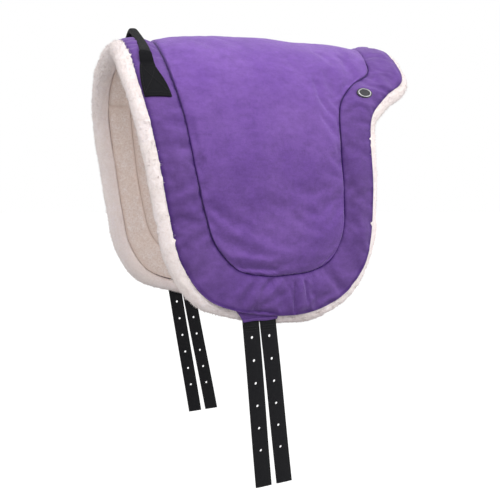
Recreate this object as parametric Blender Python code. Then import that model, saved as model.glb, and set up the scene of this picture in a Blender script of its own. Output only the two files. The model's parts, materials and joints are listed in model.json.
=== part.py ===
"""Bareback pad: a fleece-lined, foam-filled riding pad that hangs over a horse's back.

Units are metres, +Z is up, +X runs along the spine towards the tail and -Y is the near (left) side.
The origin is on the underside of the spine, where the horse's back carries the pad.

Every panel is drawn flat as a pattern piece in (u, v): u runs along the spine and v is the distance
from the ridge, measured down over the outside of the pad. drape() bends the pattern over the horse.
Depth is measured from the sewn outside surface into the pad, so the layers stack by their depths.
"""

import math

import bmesh
import bpy
from mathutils import Matrix, Vector

# The drape over the horse
SPINE_LENGTH = 0.450
FLAP_DROP = 0.505
SHOULDER_ARC = 0.331
FLAP_ANGLE = math.radians(86.7)
RIDGE_RISE = 0.0175
STEPS_PER_SHOULDER = 24

# The layers, from the outside in
COVER = 0.0020
LINING = 0.0080
PAD_THICKNESS = 0.0282
LAYER_GAP = 0.0006
FOAM_GAP = 0.0008
SEAM_GAP = 0.0003
FOAM_INSET = 0.0016
RIDGE_GAP = 0.0003

# The crowns of the panels and the channel that the seat seam pulls in
SEAT_CROWN = 0.0050
SEAT_CROWN_REACH = 0.060
BORDER_CROWN = 0.0055
SEAM_DIP = 0.0022
EDGE_TUCK = 0.0010

# The fleece roll round the edge
ROLL_RADIUS = 0.0125
ROLL_CLEARANCE = 0.0006
ROLL_SIDE_GAP = 0.0020
ROLL_TOP_DEPTH = 0.0038
ROLL_SQUEEZE_MARGIN = 0.016
ROLL_SQUEEZE_FADE = 0.045

# The billet straps and the tabs that they come out of
BILLET_WIDTH = 0.025
BILLET_THICKNESS = 0.0024
BILLET_LENGTH = 0.240
BILLET_SPACING = 0.0265
BILLET_END_RADIUS = 0.0011
HINGE_GAP = 0.0008
HOLE_DIAMETER = 0.0045
HOLE_PITCH = 0.033
FIRST_HOLE = 0.021
HOLES = 6
TAB_CENTRE = -0.0435
TAB_WIDTH = 0.054
TAB_HEIGHT = 0.022
TAB_THICKNESS = 0.0016
TAB_RISE = 0.0007
TAB_DEPTH = 0.0036
TAB_LIFT = 0.0022
ANCHOR_LENGTH = 0.050
RECESS_CLEARANCE = 0.0008
OVERRUN = 0.005
BILLET_LEAN = {
    ("left", "front"): math.radians(4.8),
    ("left", "rear"): math.radians(6.4),
    ("right", "front"): math.radians(9.0),
    ("right", "rear"): math.radians(10.7),
}

# The webbing handle over the front of the spine
HANDLE_SETBACK = 0.0168
HANDLE_WIDTH = 0.020
HANDLE_THICKNESS = 0.0046
HANDLE_BASE_ARC = 0.129
HANDLE_FREE_HEIGHT = 0.0132
HANDLE_LEAN = math.radians(8.0)
HANDLE_PINCH = 0.0055
HANDLE_RISE_POWER = 1.5
HANDLE_REACH_POWER = 1.75
HANDLE_END_TURN = math.radians(78.0)
FOOT_WIDTH = 0.039
FOOT_LENGTH = 0.057
FOOT_THICKNESS = 0.0024
FOOT_SHIFT = 0.0080
FOOT_GAP = 0.0008
HANDLE_GAP = 0.0006

# The oval badge on the near rear border
BADGE_DROP = 0.178
BADGE_LENGTH = 0.028
BADGE_HEIGHT = 0.017
BADGE_THICKNESS = 0.0016
BADGE_RIM = 0.0022
BADGE_RIM_RAISE = 0.0007
BADGE_GAP = 0.0004
BADGE_CLEARANCE = 0.0003

# How far back the badge lies, as a share of SPINE_LENGTH
badge_place_share = 1 / 3
# Outlines of half the pad as shares of SPINE_LENGTH and FLAP_DROP, from the ridge down one branch,
# along the bottom and up the other branch
front_edge_shares = [
    (-0.444, 0.000), (-0.449, 0.100), (-0.451, 0.192), (-0.446, 0.297), (-0.427, 0.416),
    (-0.404, 0.545), (-0.380, 0.683), (-0.351, 0.802), (-0.271, 0.913), (-0.135, 0.973),
]
bottom_edge_shares = [(0.015, 0.999)]
rear_edge_shares = [
    (0.556, 0.000), (0.538, 0.220), (0.518, 0.310), (0.436, 0.356), (0.358, 0.420),
    (0.336, 0.505), (0.337, 0.663), (0.313, 0.832), (0.233, 0.935), (0.133, 0.984),
]
front_seam_shares = [
    (-0.333, 0.000), (-0.342, 0.105), (-0.347, 0.195), (-0.340, 0.297), (-0.318, 0.426),
    (-0.296, 0.564), (-0.271, 0.683), (-0.240, 0.772), (-0.169, 0.848), (-0.084, 0.876),
]
bottom_seam_shares = [(0.000, 0.883)]
rear_seam_shares = [
    (0.453, 0.000), (0.418, 0.190), (0.388, 0.266), (0.300, 0.319), (0.231, 0.396),
    (0.216, 0.515), (0.220, 0.653), (0.214, 0.762), (0.164, 0.846), (0.089, 0.877),
]
# Height of the ridge as shares of SPINE_LENGTH and RIDGE_RISE
ridge_shares = [
    (-0.578, -0.95), (-0.400, -1.00), (-0.200, -0.46), (0.000, 0.00),
    (0.200, 0.10), (0.400, 0.33), (0.533, 0.82), (0.667, 0.86),
]
# Columns of the seat panel and of the border, as shares of their width
seat_column_shares = [0.0, 0.045, 0.13, 0.29, 0.5, 0.71, 0.87, 0.955, 1.0]
border_column_shares = [0.0, 0.12, 0.32, 0.58, 0.84, 1.0]
border_foam_column_shares = [0.12, 0.32]

BRANCH_STEPS = 2
BOTTOM_STEPS = 4
GULLET_SPAN = 3
SIDES = {"left": -1, "right": 1}


def clear_scene():
    for obj in list(bpy.data.objects):
        bpy.data.objects.remove(obj, do_unlink=True)


def collection(name):
    made = bpy.data.collections.new(name)
    bpy.context.scene.collection.children.link(made)
    return made


def material(name, colour, roughness, metallic=0.0):
    made = bpy.data.materials.new(name)
    made.use_nodes = True
    shader = made.node_tree.nodes["Principled BSDF"]
    shader.inputs["Base Color"].default_value = (*colour, 1.0)
    shader.inputs["Roughness"].default_value = roughness
    shader.inputs["Metallic"].default_value = metallic
    made.diffuse_color = (*colour, 1.0)
    return made


def catmull(before, start, end, after, share):
    """A point on the smooth curve from start to end, for numbers or vectors."""
    return 0.5 * (
        2.0 * start
        + (end - before) * share
        + (2.0 * before - 5.0 * start + 4.0 * end - after) * share**2
        + (3.0 * start - before - 3.0 * end + after) * share**3
    )


def ridge_height(u):
    """Height of the ridge at u, above its height at the origin."""
    stations = [SPINE_LENGTH * u_share for u_share, _ in ridge_shares]
    heights = [RIDGE_RISE * z_share for _, z_share in ridge_shares]
    last = len(stations) - 3
    i = 1
    while i < last and u > stations[i + 1]:
        i += 1
    share = (u - stations[i]) / (stations[i + 1] - stations[i])
    share = min(max(share, 0.0), 1.0)
    return catmull(*heights[i - 1:i + 3], share)


def slope_at(arc):
    """How steeply the pad falls away from level at an arc length from the ridge."""
    return FLAP_ANGLE * math.sin(0.5 * math.pi * min(arc / SHOULDER_ARC, 1.0))


def drape(u, v, depth):
    """The point of the pad at (u, v), depth inside its sewn outside surface."""
    arc = abs(v)
    shoulder = min(arc, SHOULDER_ARC)
    step = shoulder / STEPS_PER_SHOULDER
    across = 0.0
    down = 0.0
    for k in range(STEPS_PER_SHOULDER):
        slope = slope_at((k + 0.5) * step)
        across += math.cos(slope) * step
        down += math.sin(slope) * step
    across += math.cos(FLAP_ANGLE) * (arc - shoulder)
    down += math.sin(FLAP_ANGLE) * (arc - shoulder)
    slope = slope_at(arc)
    across -= math.sin(slope) * depth
    height = ridge_height(u) - down - math.cos(slope) * depth
    return Vector((u, math.copysign(across, v), height + PAD_THICKNESS))


def half_loop(front_shares, bottom_shares, rear_shares):
    """The near half of a closed outline, from the front ridge round the flap to the rear ridge."""
    controls = [*front_shares, *bottom_shares, *reversed(rear_shares)]
    points = [Vector((SPINE_LENGTH * a, -FLAP_DROP * b)) for a, b in controls]
    before = points[1].copy()
    before.y = -before.y
    after = points[-2].copy()
    after.y = -after.y
    held = [before, *points, after]
    front_spans = len(front_shares) - 1
    bottom_spans = len(bottom_shares) + 1
    line = []
    for i in range(len(points) - 1):
        in_bottom = front_spans <= i < front_spans + bottom_spans
        steps = BOTTOM_STEPS if in_bottom else BRANCH_STEPS
        line += [catmull(*held[i:i + 4], k / steps) for k in range(steps)]
    return [*line, points[-1]]


def whole_loop(half):
    """The whole outline: the near half, then its mirror image back to the front ridge."""
    far = [Vector((p.x, -p.y)) for p in reversed(half[1:-1])]
    return [*half, *far]


def offset_loop(loop, distance):
    """The outline moved inwards by distance, along its own normals."""
    moved = []
    for i, point in enumerate(loop):
        along = loop[(i + 1) % len(loop)] - loop[i - 1]
        inward = Vector((-along.y, along.x)).normalized()
        moved.append(point + inward * distance)
    return moved


def distance_to_loop(point, loop):
    """Distance from a point of the pattern to the nearest segment of an outline."""
    nearest = math.inf
    for start, end in zip(loop, [*loop[1:], loop[0]]):
        along = end - start
        share = (point - start).dot(along) / along.length_squared
        share = min(max(share, 0.0), 1.0)
        nearest = min(nearest, (point - start - along * share).length)
    return nearest


EDGE = whole_loop(half_loop(front_edge_shares, bottom_edge_shares, rear_edge_shares))
SEAM = whole_loop(half_loop(front_seam_shares, bottom_seam_shares, rear_seam_shares))
RING = len(SEAM)
BRANCH = BRANCH_STEPS * (len(front_seam_shares) - 1)
ROLL_INSET = ROLL_RADIUS + ROLL_SIDE_GAP
HANDLE_U = EDGE[0].x + HANDLE_SETBACK


def seat_crown(point):
    """Height of the seat panel above the sewn surface: sunk at the seam and full in the middle."""
    share = min(distance_to_loop(point, SEAM) / SEAT_CROWN_REACH, 1.0)
    return (SEAT_CROWN + SEAM_DIP) * math.sin(0.5 * math.pi * share) - SEAM_DIP


def border_profile(share):
    """Height of the border at a share of its width, from the seam to the outer edge."""
    sewn = SEAM_DIP + (EDGE_TUCK - SEAM_DIP) * share
    return BORDER_CROWN * math.sin(math.pi * share) ** 0.7 - sewn


def border_height(share):
    """The border's height on the straight runs between its columns."""
    for low, high in zip(border_column_shares, border_column_shares[1:]):
        if share <= high:
            part = (share - low) / (high - low)
            return border_profile(low) * (1.0 - part) + border_profile(high) * part
    return border_profile(1.0)


def surface_height(point):
    """Height of the cover at any point of the border, above the sewn surface."""
    to_seam = distance_to_loop(point, SEAM)
    to_edge = distance_to_loop(point, EDGE)
    return border_height(to_seam / (to_seam + to_edge))


def unit_slab(rows, columns, ring=False):
    """A closed slab of unit size: x counts its columns, y its rows, z is 0 on top and -1 below."""
    bm = bmesh.new()
    bmesh.ops.create_grid(bm, x_segments=columns, y_segments=rows, size=0.5)
    for vert in bm.verts:
        vert.co.x = round((vert.co.x + 0.5) * columns)
        vert.co.y = round((vert.co.y + 0.5) * rows)
    if ring:
        first = {round(v.co.x): v for v in bm.verts if round(v.co.y) == 0}
        last = [v for v in bm.verts if round(v.co.y) == rows]
        bmesh.ops.weld_verts(bm, targetmap={v: first[round(v.co.x)] for v in last})
    made = bmesh.ops.extrude_face_region(bm, geom=bm.faces[:], use_keep_orig=True)
    for item in made["geom"]:
        if isinstance(item, bmesh.types.BMVert):
            item.co.z = -1.0
    return bm


def finish_mesh(name, bm, look, home, smooth_angle=math.radians(50.0)):
    """Turns a bmesh into a named object with its material, in the pad's collection."""
    bmesh.ops.recalc_face_normals(bm, faces=bm.faces)
    mesh = bpy.data.meshes.new(name)
    bm.to_mesh(mesh)
    bm.free()
    mesh.shade_smooth()
    mesh.set_sharp_from_angle(angle=smooth_angle)
    mesh.materials.append(look)
    obj = bpy.data.objects.new(name, mesh)
    home.objects.link(obj)
    return obj


def draped_panel(name, table, tops, bottoms, look, home, ring=False):
    """A sewn panel: table holds its pattern points, tops and bottoms the depths of its two faces."""
    rows = len(table) if ring else len(table) - 1
    bm = unit_slab(rows, len(table[0]) - 1, ring)
    for vert in bm.verts:
        row = round(vert.co.y) % len(table)
        column = round(vert.co.x)
        point = table[row][column]
        depths = tops if vert.co.z > -0.5 else bottoms
        vert.co = drape(point.x, point.y, depths[row][column])
    return finish_mesh(name, bm, look, home)


def seat_table(loop):
    """Rungs across the seat, from the near bottom over the ridge to the far bottom."""
    half = RING // 2
    table = []
    for k in range(BRANCH, -BRANCH - 1, -1):
        side = 1 if k >= 0 else -1
        front = loop[abs(k) * side % RING]
        rear = loop[(half - abs(k) * side) % RING]
        row = [front.lerp(rear, share) for share in seat_column_shares]
        if abs(k) == BRANCH:
            row = [loop[(BRANCH + c) * side % RING] for c in range(len(row))]
        table.append(row)
    return table


def depth_table(table, depth):
    return [[depth for _ in row] for row in table]


def seat_depths(table, depth):
    """Depths of a layer that follows the crown of the seat."""
    return [[depth - seat_crown(point) for point in row] for row in table]


def border_table(inner, outer, shares):
    """Rows across the border, from the seat seam to the outer edge."""
    return [[a.lerp(b, share) for share in shares] for a, b in zip(inner, outer)]


def border_share(i, point):
    """Where a point lies across row i of the border, as a share of its width."""
    width = EDGE[i] - SEAM[i]
    return (point - SEAM[i]).dot(width) / width.length_squared


def side_rows(table, side):
    """The rows of one half of a ring, kept off the ridge by half a gap."""
    half = RING // 2
    picked = [table[i % RING] for i in (range(half + 1) if side < 0 else range(half, RING + 1))]
    least = 0.5 * RIDGE_GAP
    return [[Vector((p.x, side * max(side * p.y, least))) for p in row] for row in picked]


def make_covers(looks, home):
    table = seat_table(offset_loop(SEAM, SEAM_GAP))
    tops = seat_depths(table, 0.0)
    draped_panel("seat_cover", table, tops, seat_depths(table, COVER), looks["suede"], home)
    table = border_table(offset_loop(SEAM, -SEAM_GAP), EDGE, border_column_shares)
    tops = [[-border_height(share) for share in border_column_shares] for _ in table]
    bottoms = [[COVER + top for top in row] for row in tops]
    draped_panel("border_cover", table, tops, bottoms, looks["suede"], home, ring=True)


def make_foams(looks, home, cutters):
    foam_top = COVER + FOAM_GAP
    foam_bottom = PAD_THICKNESS - LINING - LAYER_GAP
    table = seat_table(offset_loop(SEAM, FOAM_INSET))
    tops = seat_depths(table, foam_top)
    draped_panel("seat_foam", table, tops, depth_table(table, foam_bottom), looks["foam"], home)
    inner = offset_loop(SEAM, -FOAM_INSET)
    outer = offset_loop(EDGE, ROLL_INSET)
    whole = []
    tops = []
    for i in range(RING):
        middle = [SEAM[i].lerp(EDGE[i], share) for share in border_foam_column_shares]
        columns = [inner[i], *middle, outer[i]]
        whole.append(columns)
        tops.append([foam_top - border_height(border_share(i, point)) for point in columns])
    half = RING // 2
    for name, side in SIDES.items():
        table = side_rows(whole, side)
        rows = range(half + 1) if side < 0 else range(half, RING + 1)
        side_tops = [tops[i % RING] for i in rows]
        bottoms = depth_table(table, foam_bottom)
        foam = draped_panel(f"border_foam_{name}", table, side_tops, bottoms, looks["foam"], home)
        cut(foam, recess_cutter(name, side, looks["foam"], cutters))


def make_lining(looks, home):
    top = PAD_THICKNESS - LINING
    table = seat_table(offset_loop(SEAM, SEAM_GAP))
    gullet = BRANCH_STEPS * GULLET_SPAN
    parts = {
        "lining_panel_left": table[:BRANCH - gullet + 1],
        "gullet_lining": table[BRANCH - gullet:BRANCH + gullet + 1],
        "lining_panel_right": table[BRANCH + gullet:],
    }
    for name, rows in parts.items():
        if name == "gullet_lining":
            rows = [trim_row(rows[0], rows[1]), *rows[1:-1], trim_row(rows[-1], rows[-2])]
        bottoms = depth_table(rows, PAD_THICKNESS)
        draped_panel(name, rows, depth_table(rows, top), bottoms, looks["lining"], home)
    inner = offset_loop(SEAM, -SEAM_GAP)
    outer = offset_loop(EDGE, ROLL_INSET)
    whole = border_table(inner, outer, [0.0, 0.5, 1.0])
    for name, side in SIDES.items():
        rows = side_rows(whole, side)
        tops = depth_table(rows, top)
        bottoms = depth_table(rows, PAD_THICKNESS)
        draped_panel(f"lining_border_{name}", rows, tops, bottoms, looks["lining"], home)


def trim_row(row, towards):
    """A row of the pattern moved a seam gap towards the next one."""
    return [a + (b - a).normalized() * 2.0 * SEAM_GAP for a, b in zip(row, towards)]


def billet_squeeze(point):
    """How far the roll is squeezed flat behind the billets: 1 at the tab, 0 clear of it."""
    if abs(point.y) < SHOULDER_ARC:
        return 0.0
    past = abs(point.x - TAB_CENTRE) - 0.5 * TAB_WIDTH - ROLL_SQUEEZE_MARGIN
    share = min(max(past / ROLL_SQUEEZE_FADE, 0.0), 1.0)
    return 0.5 + 0.5 * math.cos(math.pi * share)


def make_edge_roll(looks, home):
    """The fleece roll: one closed tube round the whole edge, squeezed flatter behind the billets."""
    squeezed = 0.5 * (PAD_THICKNESS - recess_depth() - ROLL_CLEARANCE)
    curve = bpy.data.curves.new("edge_roll", "CURVE")
    curve.dimensions = "3D"
    curve.bevel_depth = ROLL_RADIUS
    curve.bevel_resolution = 3
    spline = curve.splines.new("POLY")
    spline.points.add(len(EDGE) - 1)
    spline.use_cyclic_u = True
    for place, point in zip(spline.points, EDGE):
        amount = billet_squeeze(point)
        radius = ROLL_RADIUS + (squeezed - ROLL_RADIUS) * amount
        top = ROLL_TOP_DEPTH + (recess_depth() + ROLL_CLEARANCE - ROLL_TOP_DEPTH) * amount
        place.co = (*drape(point.x, point.y, top + radius), 1.0)
        place.radius = radius / ROLL_RADIUS
    curve.materials.append(looks["fleece"])
    roll = bpy.data.objects.new("edge_roll", curve)
    home.objects.link(roll)


def billet_depth():
    """Depth of the middle of the billet webbing at the tab."""
    return TAB_DEPTH + TAB_THICKNESS + LAYER_GAP + 0.5 * BILLET_THICKNESS


def recess_depth():
    return billet_depth() + 0.5 * BILLET_THICKNESS + RECESS_CLEARANCE


def tab_bottom():
    """Arc length from the ridge to the lower edge of the billet tab."""
    return FLAP_DROP - TAB_RISE


def flap_box(name, side, size, centre, look, home):
    """A box in the plane of the flap: size and centre are given along the spine, through the
    flap (depth) and down it (arc length)."""
    bm = bmesh.new()
    bmesh.ops.create_cube(bm, size=1.0, matrix=Matrix.Diagonal((*size, 1.0)))
    obj = finish_mesh(name, bm, look, home)
    u, depth, arc = centre
    level = ridge_height(TAB_CENTRE) - ridge_height(u)
    obj.location = drape(u, side * arc, depth) + Vector((0.0, 0.0, level))
    obj.rotation_euler = (side * (0.5 * math.pi - FLAP_ANGLE), 0.0, 0.0)
    return obj


def recess_cutter(name, side, look, cutters):
    """The space that the sewn ends of the billets need in the border foam."""
    top = tab_bottom() + TAB_LIFT - ANCHOR_LENGTH - RECESS_CLEARANCE
    bottom = FLAP_DROP + ROLL_RADIUS
    outside = -BORDER_CROWN - OVERRUN
    inside = recess_depth()
    size = (TAB_WIDTH + 2.0 * RECESS_CLEARANCE, inside - outside, bottom - top)
    centre = (TAB_CENTRE, 0.5 * (inside + outside), 0.5 * (top + bottom))
    return flap_box(f"recess_{name}", side, size, centre, look, cutters)


def cut(obj, cutter):
    """Cuts obj by cutter with a Boolean modifier, and hides the cutter."""
    cutter.hide_render = True
    cutter.display_type = "WIRE"
    boolean = obj.modifiers.new("cut", "BOOLEAN")
    boolean.operation = "DIFFERENCE"
    boolean.solver = "EXACT"
    boolean.object = cutter


def round_end(obj, upper):
    """Rounds the end of a strap that faces its fold line."""
    bm = bmesh.new()
    bm.from_mesh(obj.data)
    edges = []
    for edge in bm.edges:
        a, b = edge.verts
        along = abs(a.co.y - b.co.y) < BILLET_END_RADIUS and abs(a.co.z - b.co.z) < BILLET_END_RADIUS
        if along and (a.co.z > 0.0) == upper:
            edges.append(edge)
    bmesh.ops.bevel(bm, geom=edges, offset=BILLET_END_RADIUS, segments=2, profile=0.5, affect="EDGES")
    bm.to_mesh(obj.data)
    bm.free()


def make_tabs(looks, home):
    arc = tab_bottom() - 0.5 * TAB_HEIGHT
    size = (TAB_WIDTH, TAB_THICKNESS, TAB_HEIGHT)
    for name, side in SIDES.items():
        centre = (TAB_CENTRE, TAB_DEPTH + 0.5 * TAB_THICKNESS, arc)
        flap_box(f"billet_tab_{name}", side, size, centre, looks["suede"], home)


def make_billets(looks, home, cutters):
    """Four straps: each hangs from its fold line at the tab, and its sewn end lies in the flap."""
    fold = tab_bottom() + TAB_LIFT
    ends = {"front": TAB_CENTRE - 0.5 * BILLET_SPACING, "rear": TAB_CENTRE + 0.5 * BILLET_SPACING}
    for side_name, side in SIDES.items():
        for end_name, u in ends.items():
            name = f"{side_name}_{end_name}"
            length = ANCHOR_LENGTH - 0.5 * HINGE_GAP
            centre = (u, billet_depth(), fold - 0.5 * HINGE_GAP - 0.5 * length)
            size = (BILLET_WIDTH, BILLET_THICKNESS, length)
            anchor = flap_box(f"billet_anchor_{name}", side, size, centre, looks["webbing"], home)
            round_end(anchor, upper=False)
            level = ridge_height(TAB_CENTRE) - ridge_height(u)
            hinge = drape(u, side * fold, billet_depth()) + Vector((0.0, 0.0, level))
            lean = math.tan(BILLET_LEAN[(side_name, end_name)])
            make_billet(f"billet_{name}", hinge, lean, looks, home, cutters)


def make_billet(name, hinge, lean, looks, home, cutters):
    """A webbing strap with punched holes, its origin on its fold line at the tab."""
    top = 0.5 * HINGE_GAP
    length = BILLET_LENGTH - top
    bm = bmesh.new()
    size = Matrix.Diagonal((BILLET_WIDTH, BILLET_THICKNESS, length, 1.0))
    bmesh.ops.create_cube(bm, size=1.0, matrix=size)
    strap = finish_mesh(name, bm, looks["webbing"], home)
    round_end(strap, upper=True)
    hang = Matrix.Translation((0.0, 0.0, -top - 0.5 * length))
    slant = Matrix.Identity(4)
    slant[0][2] = -lean
    strap.data.transform(slant @ hang)
    strap.location = hinge
    holes = bmesh.new()
    turn = Matrix.Rotation(0.5 * math.pi, 4, "X")
    for k in range(HOLES):
        drop = FIRST_HOLE + k * HOLE_PITCH
        place = Matrix.Translation((lean * drop, 0.0, -drop)) @ turn
        bmesh.ops.create_cone(
            holes, cap_ends=True, segments=12, radius1=0.5 * HOLE_DIAMETER, radius2=0.5 * HOLE_DIAMETER,
            depth=BILLET_THICKNESS + OVERRUN, matrix=place
        )
    punch = finish_mesh(f"punch_{name}", holes, looks["webbing"], cutters)
    punch.location = hinge
    cut(strap, punch)


def handle_pivot():
    """Middle of the handle's far fold: half a width above the foot that it folds up from."""
    point = Vector((HANDLE_U, HANDLE_BASE_ARC))
    height = surface_height(point) + FOOT_GAP + 0.5 * FOOT_THICKNESS
    rise = 0.5 * FOOT_THICKNESS * math.cos(slope_at(HANDLE_BASE_ARC))
    up = Vector((0.0, 0.0, rise + HANDLE_GAP + 0.5 * HANDLE_WIDTH))
    return drape(point.x, point.y, -height) + up


def handle_rise(pivot):
    """Height of the arch's middle above its folds, which leaves room for fingers over the ridge."""
    ridge = Vector((HANDLE_U, 0.0))
    top = drape(ridge.x, ridge.y, -surface_height(ridge)).z
    return top + HANDLE_FREE_HEIGHT + 0.5 * HANDLE_THICKNESS - pivot.z


def make_handle(looks, home):
    """The grab handle: webbing in an arch with round ends, its origin midway between its folds."""
    pivot = handle_pivot()
    height = handle_rise(pivot)
    arch_rows = 24
    end_rows = 4
    columns = 4
    bm = unit_slab(arch_rows + 2 * end_rows, columns)
    for vert in bm.verts:
        row = vert.co.y - end_rows
        beyond = max(-row, row - arch_rows, 0.0)
        turn = math.pi * min(max(row / arch_rows, 0.0), 1.0)
        close = HANDLE_END_TURN * beyond / end_rows
        offset = (0.5 if vert.co.z > -0.5 else -0.5) * HANDLE_THICKNESS
        rise = (height + offset) * math.sin(turn) ** HANDLE_RISE_POWER
        reach = math.copysign(abs(math.cos(turn)) ** HANDLE_REACH_POWER, -math.cos(turn))
        width = (HANDLE_WIDTH - HANDLE_PINCH * math.sin(turn)) * math.cos(close)
        across = (vert.co.x / columns - 0.5) * width
        drop = 0.5 * HANDLE_WIDTH * math.sin(close)
        lean = rise * math.tan(HANDLE_LEAN)
        vert.co = (across + lean, (pivot.y + offset) * reach, rise - drop)
    grip = finish_mesh("handle_grip", bm, looks["webbing"], home)
    grip.location = (pivot.x, 0.0, pivot.z)


def make_handle_feet(looks, home):
    """The flared ends of the handle webbing, sewn flat on the front border."""
    rows = 6
    columns = 4
    for name, side in SIDES.items():
        table = []
        heights = []
        for i in range(rows + 1):
            share = i / rows
            width = HANDLE_WIDTH + (FOOT_WIDTH - HANDLE_WIDTH) * share
            centre = HANDLE_U + FOOT_SHIFT * share
            arc = HANDLE_BASE_ARC + FOOT_LENGTH * share
            across = [centre + (c / columns - 0.5) * width for c in range(columns + 1)]
            points = [Vector((u, side * arc)) for u in across]
            table.append(points)
            heights.append([surface_height(point) + FOOT_GAP for point in points])
        tops = [[-h - FOOT_THICKNESS for h in row] for row in heights]
        bottoms = [[-h for h in row] for row in heights]
        draped_panel(f"handle_foot_{name}", table, tops, bottoms, looks["webbing"], home)


def make_badge(looks, home):
    """A plain oval badge with a raised rim, lying on the near rear border."""
    centre = Vector((SPINE_LENGTH * badge_place_share, -BADGE_DROP))
    segments = 28
    outline = []
    for i in range(segments):
        turn = 2.0 * math.pi * i / segments
        reach = Vector((0.5 * BADGE_LENGTH * math.cos(turn), 0.5 * BADGE_HEIGHT * math.sin(turn)))
        outline.append(centre + reach)
    seat = max(surface_height(point) for point in outline) + BADGE_GAP
    parts = {
        "badge_base": (0.0, 1.0 - 2.0 * (BADGE_RIM + BADGE_CLEARANCE) / BADGE_HEIGHT, BADGE_THICKNESS),
        "badge_rim": (1.0 - 2.0 * BADGE_RIM / BADGE_HEIGHT, 1.0, BADGE_THICKNESS + BADGE_RIM_RAISE),
    }
    for name, (low, high, thickness) in parts.items():
        bm = bmesh.new()
        if low > 0.0:
            bm.free()
            bm = unit_slab(segments, 1, ring=True)
            for vert in bm.verts:
                share = high if vert.co.x > 0.5 else low
                turn = 2.0 * math.pi * vert.co.y / segments
                vert.co.x = share * math.cos(turn)
                vert.co.y = share * math.sin(turn)
        else:
            bmesh.ops.create_cone(
                bm, cap_ends=True, segments=segments, radius1=high, radius2=high, depth=1.0,
                matrix=Matrix.Translation((0.0, 0.0, -0.5))
            )
        for vert in bm.verts:
            u = centre.x + 0.5 * BADGE_LENGTH * vert.co.x
            v = centre.y + 0.5 * BADGE_HEIGHT * vert.co.y
            height = seat + (thickness if vert.co.z > -0.5 else 0.0)
            vert.co = drape(u, v, -height)
        finish_mesh(name, bm, looks["rim" if low > 0.0 else "badge"], home)


def main():
    clear_scene()
    home = collection("bareback_pad")
    cutters = collection("cutters")
    looks = {
        "suede": material("suede", (0.27, 0.14, 0.50), 0.85),
        "fleece": material("fleece", (0.86, 0.76, 0.76), 0.95),
        "lining": material("lining", (0.62, 0.50, 0.46), 0.95),
        "foam": material("foam", (0.80, 0.78, 0.70), 0.90),
        "webbing": material("webbing", (0.012, 0.012, 0.016), 0.70),
        "badge": material("badge", (0.05, 0.05, 0.055), 0.55),
        "rim": material("rim", (0.55, 0.55, 0.57), 0.35, 0.8),
    }
    make_covers(looks, home)
    make_foams(looks, home, cutters)
    make_lining(looks, home)
    make_edge_roll(looks, home)
    make_tabs(looks, home)
    make_billets(looks, home, cutters)
    make_handle(looks, home)
    make_handle_feet(looks, home)
    make_badge(looks, home)


main()
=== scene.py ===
"""The looks of a bareback pad: purple suede over foam, a cream fleece lining and black webbing.

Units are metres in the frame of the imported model: +X runs along the spine towards the tail, -Y is the
near side and +Z is up. Every sewn panel is drawn flat in pattern places (u, v) and bent over the
horse by drape(). Heights are measured outwards from the sewn outside surface.
"""

import json
import math

import bmesh
import bpy
import numpy as np
from mathutils import Matrix, Vector, noise


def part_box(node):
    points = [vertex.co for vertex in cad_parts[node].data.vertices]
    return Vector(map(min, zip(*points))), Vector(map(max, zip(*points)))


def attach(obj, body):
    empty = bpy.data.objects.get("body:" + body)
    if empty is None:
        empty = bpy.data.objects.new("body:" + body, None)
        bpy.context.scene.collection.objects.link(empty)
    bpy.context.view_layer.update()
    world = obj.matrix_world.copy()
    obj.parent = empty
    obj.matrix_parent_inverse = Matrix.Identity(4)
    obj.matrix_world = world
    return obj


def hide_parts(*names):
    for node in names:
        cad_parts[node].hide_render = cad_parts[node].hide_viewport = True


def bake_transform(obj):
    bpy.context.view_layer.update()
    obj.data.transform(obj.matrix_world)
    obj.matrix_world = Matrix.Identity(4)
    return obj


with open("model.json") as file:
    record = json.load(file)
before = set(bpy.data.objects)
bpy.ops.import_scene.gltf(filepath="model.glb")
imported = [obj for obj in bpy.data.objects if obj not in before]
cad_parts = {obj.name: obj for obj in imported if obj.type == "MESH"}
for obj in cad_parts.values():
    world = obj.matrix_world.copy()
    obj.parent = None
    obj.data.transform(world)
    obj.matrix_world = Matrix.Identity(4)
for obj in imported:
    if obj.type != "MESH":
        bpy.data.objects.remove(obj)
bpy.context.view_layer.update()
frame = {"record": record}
scene = bpy.context.scene

# The drape over the horse and the layers of the pad
SPINE_LENGTH = 0.45
FLAP_DROP = 0.505
SHOULDER_ARC = 0.331
FLAP_ANGLE = math.radians(86.7)
RIDGE_RISE = 0.0175
STEPS_PER_SHOULDER = 24
PAD_THICKNESS = 0.0282
LINING = 0.008
LAYER_GAP = 0.0006
FOAM_DEPTH = PAD_THICKNESS - LINING - LAYER_GAP

# The crowns of the panels, their channel and the hem at the edge
SEAT_CROWN = 0.005
SEAT_CROWN_REACH = 0.06
BORDER_CROWN = 0.0055
SEAM_DIP = 0.0026
EDGE_TUCK = 0.001
SEAM_GAP = 0.00025
SEAT_LIP = 0.0018
SEAT_LIP_REACH = 0.003
HEM_WIDTH = 0.0034
HEM_RISE = 0.0012
HEM_START = 0.4
HEM_FADE = 0.05
SUEDE_THICKNESS = 0.002
FOLD_FADE = 0.006

# How far the dark of each sewn line reaches: the dark of a seam is in part painted shade of its channel,
# and the dark along the border's edge and along the lining's seams is painted shade
SEWN_LINE_AND_SHADE = 0.0013
SEAM_SHADE = 0.0019
EDGE_PAINTED_SHADE = 0.0036
LINING_SEAM_SHADE = 0.0018

# Unevenness, in layers of height, cells to the metre and seed
SEAT_RIPPLES = [(0.0008, 16.0, 3.1), (0.0003, 60.0, 5.7)]
BORDER_RIPPLES = [(0.0007, 24.0, 1.3)]
LINING_RIPPLES = [(0.0006, 40.0, 2.0), (0.0004, 150.0, 4.0)]

# The small gathers along the border's edge; their wander shifts the waves by so many radians
PUCKER_PITCH = 0.017
PUCKER_RISE = 0.0006
PUCKER_REACH = 0.01
PUCKER_WANDER = [(2.5, 30.0, 9.0)]

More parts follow.
